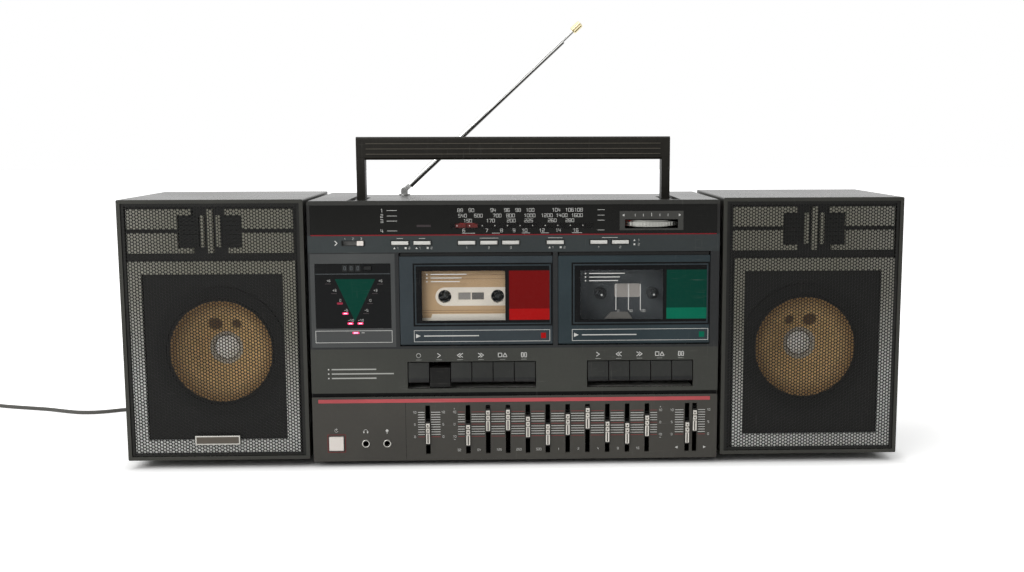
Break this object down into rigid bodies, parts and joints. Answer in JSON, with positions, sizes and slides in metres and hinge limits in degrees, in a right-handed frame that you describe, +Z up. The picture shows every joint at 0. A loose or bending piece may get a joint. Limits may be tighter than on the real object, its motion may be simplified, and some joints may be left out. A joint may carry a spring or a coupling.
{
  "type": "radio cassette recorder",
  "caption": "Portable radio cassette recorder with two tape decks, a tuning dial, a slider equaliser, a folding handle, a telescopic aerial and lift-off loudspeakers.",
  "frame": {"origin": "on the table under the middle of the object's box, the mains lead left out", "axes": "+X to the user's right along the front, +Y from the front towards the back, +Z up"},
  "size_m": [0.9223, 0.3365, 0.3653],
  "materials": {
    "housing": "fine satin texture",
    "cabinet": "satin",
    "smoked_window": "gloss",
    "door_plastic": "satin slate grey",
    "deck_plastic": "satin",
    "handle_plastic": "fine texture",
    "bright_metal": "polished",
    "wheel_metal": "knurled",
    "pointer_red": "gloss",
    "cassette_shell": "satin",
    "speaker_cone": "paper",
    "grille_metal": "satin black",
    "silver_button": "metallic",
    "white_button": "satin",
    "dark_button": "satin",
    "key_plastic": "satin",
    "slider_metal": "metallic",
    "lead": "matt",
    "plug_plastic": "matt"
  },
  "bodies": {
    "main_unit": {"front_case": "housing", "rear_case": "housing", "dial_window": "smoked_window", "meter_window": "smoked_window", "deck_mechanism": "deck_plastic", "strain_relief": "plug_plastic", "power_cord": "lead", "cord_coil": "lead", "mains_plug": "plug_plastic"},
    "left_door": {"left_cassette_door": "door_plastic", "cassette": "cassette_shell"},
    "right_door": {"right_cassette_door": "door_plastic"},
    "left_speaker": {"left_speaker_cabinet": "cabinet", "left_woofer": "speaker_cone", "left_speaker_grille": "grille_metal"},
    "right_speaker": {"right_speaker_cabinet": "cabinet", "right_woofer": "speaker_cone", "right_speaker_grille": "grille_metal"},
    "battery_cover": {"battery_cover": "housing"},
    "handle": {"handle": "handle_plastic"},
    "aerial_swivel": {"aerial_swivel": "bright_metal"},
    "aerial_tube": {"aerial_tube": "bright_metal"},
    "aerial_rod": {"aerial_rod": "bright_metal"},
    "tuning_wheel": {"tuning_wheel": "wheel_metal"},
    "dial_pointer": {"dial_pointer": "pointer_red"},
    "band_switch": {"band_switch": "white_button"},
    "counter_reset_button": {"counter_reset_button": "dark_button"},
    "power_button": {"power_button": "white_button"},
    "band_button": {"band_button": "silver_button"},
    "mode_button": {"mode_button": "silver_button"},
    "radio_button": {"radio_button": "silver_button"},
    "tape_button": {"tape_button": "silver_button"},
    "line_button": {"line_button": "silver_button"},
    "dubbing_button": {"dubbing_button": "silver_button"},
    "play_select_button": {"play_select_button": "silver_button"},
    "record_select_button": {"record_select_button": "silver_button"},
    "left_record_key": {"left_record_key": "key_plastic"},
    "left_play_key": {"left_play_key": "key_plastic"},
    "left_rewind_key": {"left_rewind_key": "key_plastic"},
    "left_forward_key": {"left_forward_key": "key_plastic"},
    "left_stop_key": {"left_stop_key": "key_plastic"},
    "left_pause_key": {"left_pause_key": "key_plastic"},
    "right_play_key": {"right_play_key": "key_plastic"},
    "right_rewind_key": {"right_rewind_key": "key_plastic"},
    "right_forward_key": {"right_forward_key": "key_plastic"},
    "right_stop_key": {"right_stop_key": "key_plastic"},
    "right_pause_key": {"right_pause_key": "key_plastic"},
    "mic_slider": {"mic_slider": "slider_metal"},
    "eq_slider_1": {"eq_slider_1": "slider_metal"},
    "eq_slider_2": {"eq_slider_2": "slider_metal"},
    "eq_slider_3": {"eq_slider_3": "slider_metal"},
    "eq_slider_4": {"eq_slider_4": "slider_metal"},
    "eq_slider_5": {"eq_slider_5": "slider_metal"},
    "eq_slider_6": {"eq_slider_6": "slider_metal"},
    "eq_slider_7": {"eq_slider_7": "slider_metal"},
    "eq_slider_8": {"eq_slider_8": "slider_metal"},
    "eq_slider_9": {"eq_slider_9": "slider_metal"},
    "eq_slider_10": {"eq_slider_10": "slider_metal"},
    "left_volume_slider": {"left_volume_slider": "slider_metal"},
    "right_volume_slider": {"right_volume_slider": "slider_metal"}
  },
  "joints": [
    {"name": "left_door_hinge", "type": "hinge", "parent": "main_unit", "child": "left_door", "pos_m": [0, -0.0713, 0.1017], "axis": [1, 0, 0], "range_deg": [0, 35]},
    {"name": "right_door_hinge", "type": "hinge", "parent": "main_unit", "child": "right_door", "pos_m": [0, -0.0713, 0.1017], "axis": [1, 0, 0], "range_deg": [0, 35]},
    {"name": "left_speaker_lift", "type": "slide", "parent": "main_unit", "child": "left_speaker", "axis": [0, 0, 1], "range_m": [0, 0.014]},
    {"name": "right_speaker_lift", "type": "slide", "parent": "main_unit", "child": "right_speaker", "axis": [0, 0, 1], "range_m": [0, 0.014]},
    {"name": "battery_cover_hinge", "type": "hinge", "parent": "main_unit", "child": "battery_cover", "pos_m": [0, 0.0754, 0.018], "axis": [-1, 0, 0], "range_deg": [0, 75]},
    {"name": "handle_fold", "type": "hinge", "parent": "main_unit", "child": "handle", "pos_m": [0, -0.0085, 0.2085], "axis": [-1, 0, 0], "range_deg": [0, 69]},
    {"name": "aerial_turn", "type": "hinge", "parent": "main_unit", "child": "aerial_swivel", "pos_m": [-0.0971, 0.0645, 0.2135], "axis": [0, 0, 1], "range_deg": [0, 180]},
    {"name": "aerial_tilt", "type": "hinge", "parent": "aerial_swivel", "child": "aerial_tube", "pos_m": [-0.0971, 0.0645, 0.2179], "axis": [0, -1, 0], "range_deg": [-40.6, 47.2]},
    {"name": "aerial_pull", "type": "slide", "parent": "aerial_tube", "child": "aerial_rod", "axis": [0.7337, 0, 0.6794], "range_m": [0, 0.16]},
    {"name": "tuning_turn", "type": "hinge", "parent": "main_unit", "child": "tuning_wheel", "pos_m": [0.1091, -0.0465, 0.1964], "axis": [0, 0, 1], "range_deg": [0, 792]},
    {"name": "pointer_move", "type": "slide", "parent": "main_unit", "child": "dial_pointer", "axis": [1, 0, 0], "range_m": [0, 0.088]},
    {"name": "band_slide", "type": "slide", "parent": "main_unit", "child": "band_switch", "axis": [1, 0, 0], "range_m": [-0.0114, 0]},
    {"name": "band_press", "type": "slide", "parent": "main_unit", "child": "band_button", "axis": [0, 1, 0], "range_m": [0, 0.003], "stiffness_N_per_m": 60, "springref_m": -0.003},
    {"name": "mode_press", "type": "slide", "parent": "main_unit", "child": "mode_button", "axis": [0, 1, 0], "range_m": [0, 0.003], "stiffness_N_per_m": 60, "springref_m": -0.003},
    {"name": "radio_press", "type": "slide", "parent": "main_unit", "child": "radio_button", "axis": [0, 1, 0], "range_m": [0, 0.003], "stiffness_N_per_m": 60, "springref_m": -0.003},
    {"name": "tape_press", "type": "slide", "parent": "main_unit", "child": "tape_button", "axis": [0, 1, 0], "range_m": [0, 0.003], "stiffness_N_per_m": 60, "springref_m": -0.003},
    {"name": "line_press", "type": "slide", "parent": "main_unit", "child": "line_button", "axis": [0, 1, 0], "range_m": [0, 0.003], "stiffness_N_per_m": 60, "springref_m": -0.003},
    {"name": "dubbing_press", "type": "slide", "parent": "main_unit", "child": "dubbing_button", "axis": [0, 1, 0], "range_m": [0, 0.003], "stiffness_N_per_m": 60, "springref_m": -0.003},
    {"name": "play_select_press", "type": "slide", "parent": "main_unit", "child": "play_select_button", "axis": [0, 1, 0], "range_m": [0, 0.003], "stiffness_N_per_m": 60, "springref_m": -0.003},
    {"name": "record_select_press", "type": "slide", "parent": "main_unit", "child": "record_select_button", "axis": [0, 1, 0], "range_m": [0, 0.003], "stiffness_N_per_m": 60, "springref_m": -0.003},
    {"name": "power_press", "type": "slide", "parent": "main_unit", "child": "power_button", "axis": [0, 1, 0], "range_m": [0, 0.003], "stiffness_N_per_m": 60, "springref_m": -0.003},
    {"name": "counter_reset_press", "type": "slide", "parent": "main_unit", "child": "counter_reset_button", "axis": [0, 1, 0], "range_m": [0, 0.0015], "stiffness_N_per_m": 60, "springref_m": -0.003},
    {"name": "left_record_press", "type": "hinge", "parent": "main_unit", "child": "left_record_key", "pos_m": [0, -0.0275, 0.07846], "axis": [1, 0, 0], "range_deg": [0, 5.36], "stiffness_Nm_per_rad": 0.3, "springref_deg": -5.73},
    {"name": "left_play_press", "type": "hinge", "parent": "main_unit", "child": "left_play_key", "pos_m": [0, -0.0275, 0.07846], "axis": [1, 0, 0], "range_deg": [-5.36, 0]},
    {"name": "left_rewind_press", "type": "hinge", "parent": "main_unit", "child": "left_rewind_key", "pos_m": [0, -0.0275, 0.07846], "axis": [1, 0, 0], "range_deg": [0, 5.36], "stiffness_Nm_per_rad": 0.3, "springref_deg": -5.73},
    {"name": "left_forward_press", "type": "hinge", "parent": "main_unit", "child": "left_forward_key", "pos_m": [0, -0.0275, 0.07846], "axis": [1, 0, 0], "range_deg": [0, 5.36], "stiffness_Nm_per_rad": 0.3, "springref_deg": -5.73},
    {"name": "left_stop_press", "type": "hinge", "parent": "main_unit", "child": "left_stop_key", "pos_m": [0, -0.0275, 0.07846], "axis": [1, 0, 0], "range_deg": [0, 5.36], "stiffness_Nm_per_rad": 0.3, "springref_deg": -5.73},
    {"name": "left_pause_press", "type": "hinge", "parent": "main_unit", "child": "left_pause_key", "pos_m": [0, -0.0275, 0.07846], "axis": [1, 0, 0], "range_deg": [0, 5.36], "stiffness_Nm_per_rad": 0.3, "springref_deg": -5.73},
    {"name": "right_play_press", "type": "hinge", "parent": "main_unit", "child": "right_play_key", "pos_m": [0, -0.0275, 0.07846], "axis": [1, 0, 0], "range_deg": [0, 5.36], "stiffness_Nm_per_rad": 0.3, "springref_deg": -5.73},
    {"name": "right_rewind_press", "type": "hinge", "parent": "main_unit", "child": "right_rewind_key", "pos_m": [0, -0.0275, 0.07846], "axis": [1, 0, 0], "range_deg": [0, 5.36], "stiffness_Nm_per_rad": 0.3, "springref_deg": -5.73},
    {"name": "right_forward_press", "type": "hinge", "parent": "main_unit", "child": "right_forward_key", "pos_m": [0, -0.0275, 0.07846], "axis": [1, 0, 0], "range_deg": [0, 5.36], "stiffness_Nm_per_rad": 0.3, "springref_deg": -5.73},
    {"name": "right_stop_press", "type": "hinge", "parent": "main_unit", "child": "right_stop_key", "pos_m": [0, -0.0275, 0.07846], "axis": [1, 0, 0], "range_deg": [0, 5.36], "stiffness_Nm_per_rad": 0.3, "springref_deg": -5.73},
    {"name": "right_pause_press", "type": "hinge", "parent": "main_unit", "child": "right_pause_key", "pos_m": [0, -0.0275, 0.07846], "axis": [1, 0, 0], "range_deg": [0, 5.36], "stiffness_Nm_per_rad": 0.3, "springref_deg": -5.73},
    {"name": "mic_slide", "type": "slide", "parent": "main_unit", "child": "mic_slider", "axis": [0, 0, 1], "range_m": [-0.0076, 0.0128]},
    {"name": "eq_slide_1", "type": "slide", "parent": "main_unit", "child": "eq_slider_1", "axis": [0, 0, 1], "range_m": [-0.006, 0.0144]},
    {"name": "eq_slide_2", "type": "slide", "parent": "main_unit", "child": "eq_slider_2", "axis": [0, 0, 1], "range_m": [-0.0178, 0.0026]},
    {"name": "eq_slide_3", "type": "slide", "parent": "main_unit", "child": "eq_slider_3", "axis": [0, 0, 1], "range_m": [-0.0183, 0.0021]},
    {"name": "eq_slide_4", "type": "slide", "parent": "main_unit", "child": "eq_slider_4", "axis": [0, 0, 1], "range_m": [-0.0124, 0.008]},
    {"name": "eq_slide_5", "type": "slide", "parent": "main_unit", "child": "eq_slider_5", "axis": [0, 0, 1], "range_m": [-0.0058, 0.0146]},
    {"name": "eq_slide_6", "type": "slide", "parent": "main_unit", "child": "eq_slider_6", "axis": [0, 0, 1], "range_m": [-0.014, 0.0064]},
    {"name": "eq_slide_7", "type": "slide", "parent": "main_unit", "child": "eq_slider_7", "axis": [0, 0, 1], "range_m": [-0.019, 0.0014]},
    {"name": "eq_slide_8", "type": "slide", "parent": "main_unit", "child": "eq_slider_8", "axis": [0, 0, 1], "range_m": [-0.0076, 0.0128]},
    {"name": "eq_slide_9", "type": "slide", "parent": "main_unit", "child": "eq_slider_9", "axis": [0, 0, 1], "range_m": [-0.0062, 0.0142]},
    {"name": "eq_slide_10", "type": "slide", "parent": "main_unit", "child": "eq_slider_10", "axis": [0, 0, 1], "range_m": [-0.0123, 0.0081]},
    {"name": "left_volume_slide", "type": "slide", "parent": "main_unit", "child": "left_volume_slider", "axis": [0, 0, 1], "range_m": [-0.0063, 0.0141]},
    {"name": "right_volume_slide", "type": "slide", "parent": "main_unit", "child": "right_volume_slider", "axis": [0, 0, 1], "range_m": [-0.0163, 0.0041]}
  ],
  "couplings": [
    {"joint": "pointer_move", "follows": "tuning_turn", "m_per_rad": 0.0063662}
  ]
}
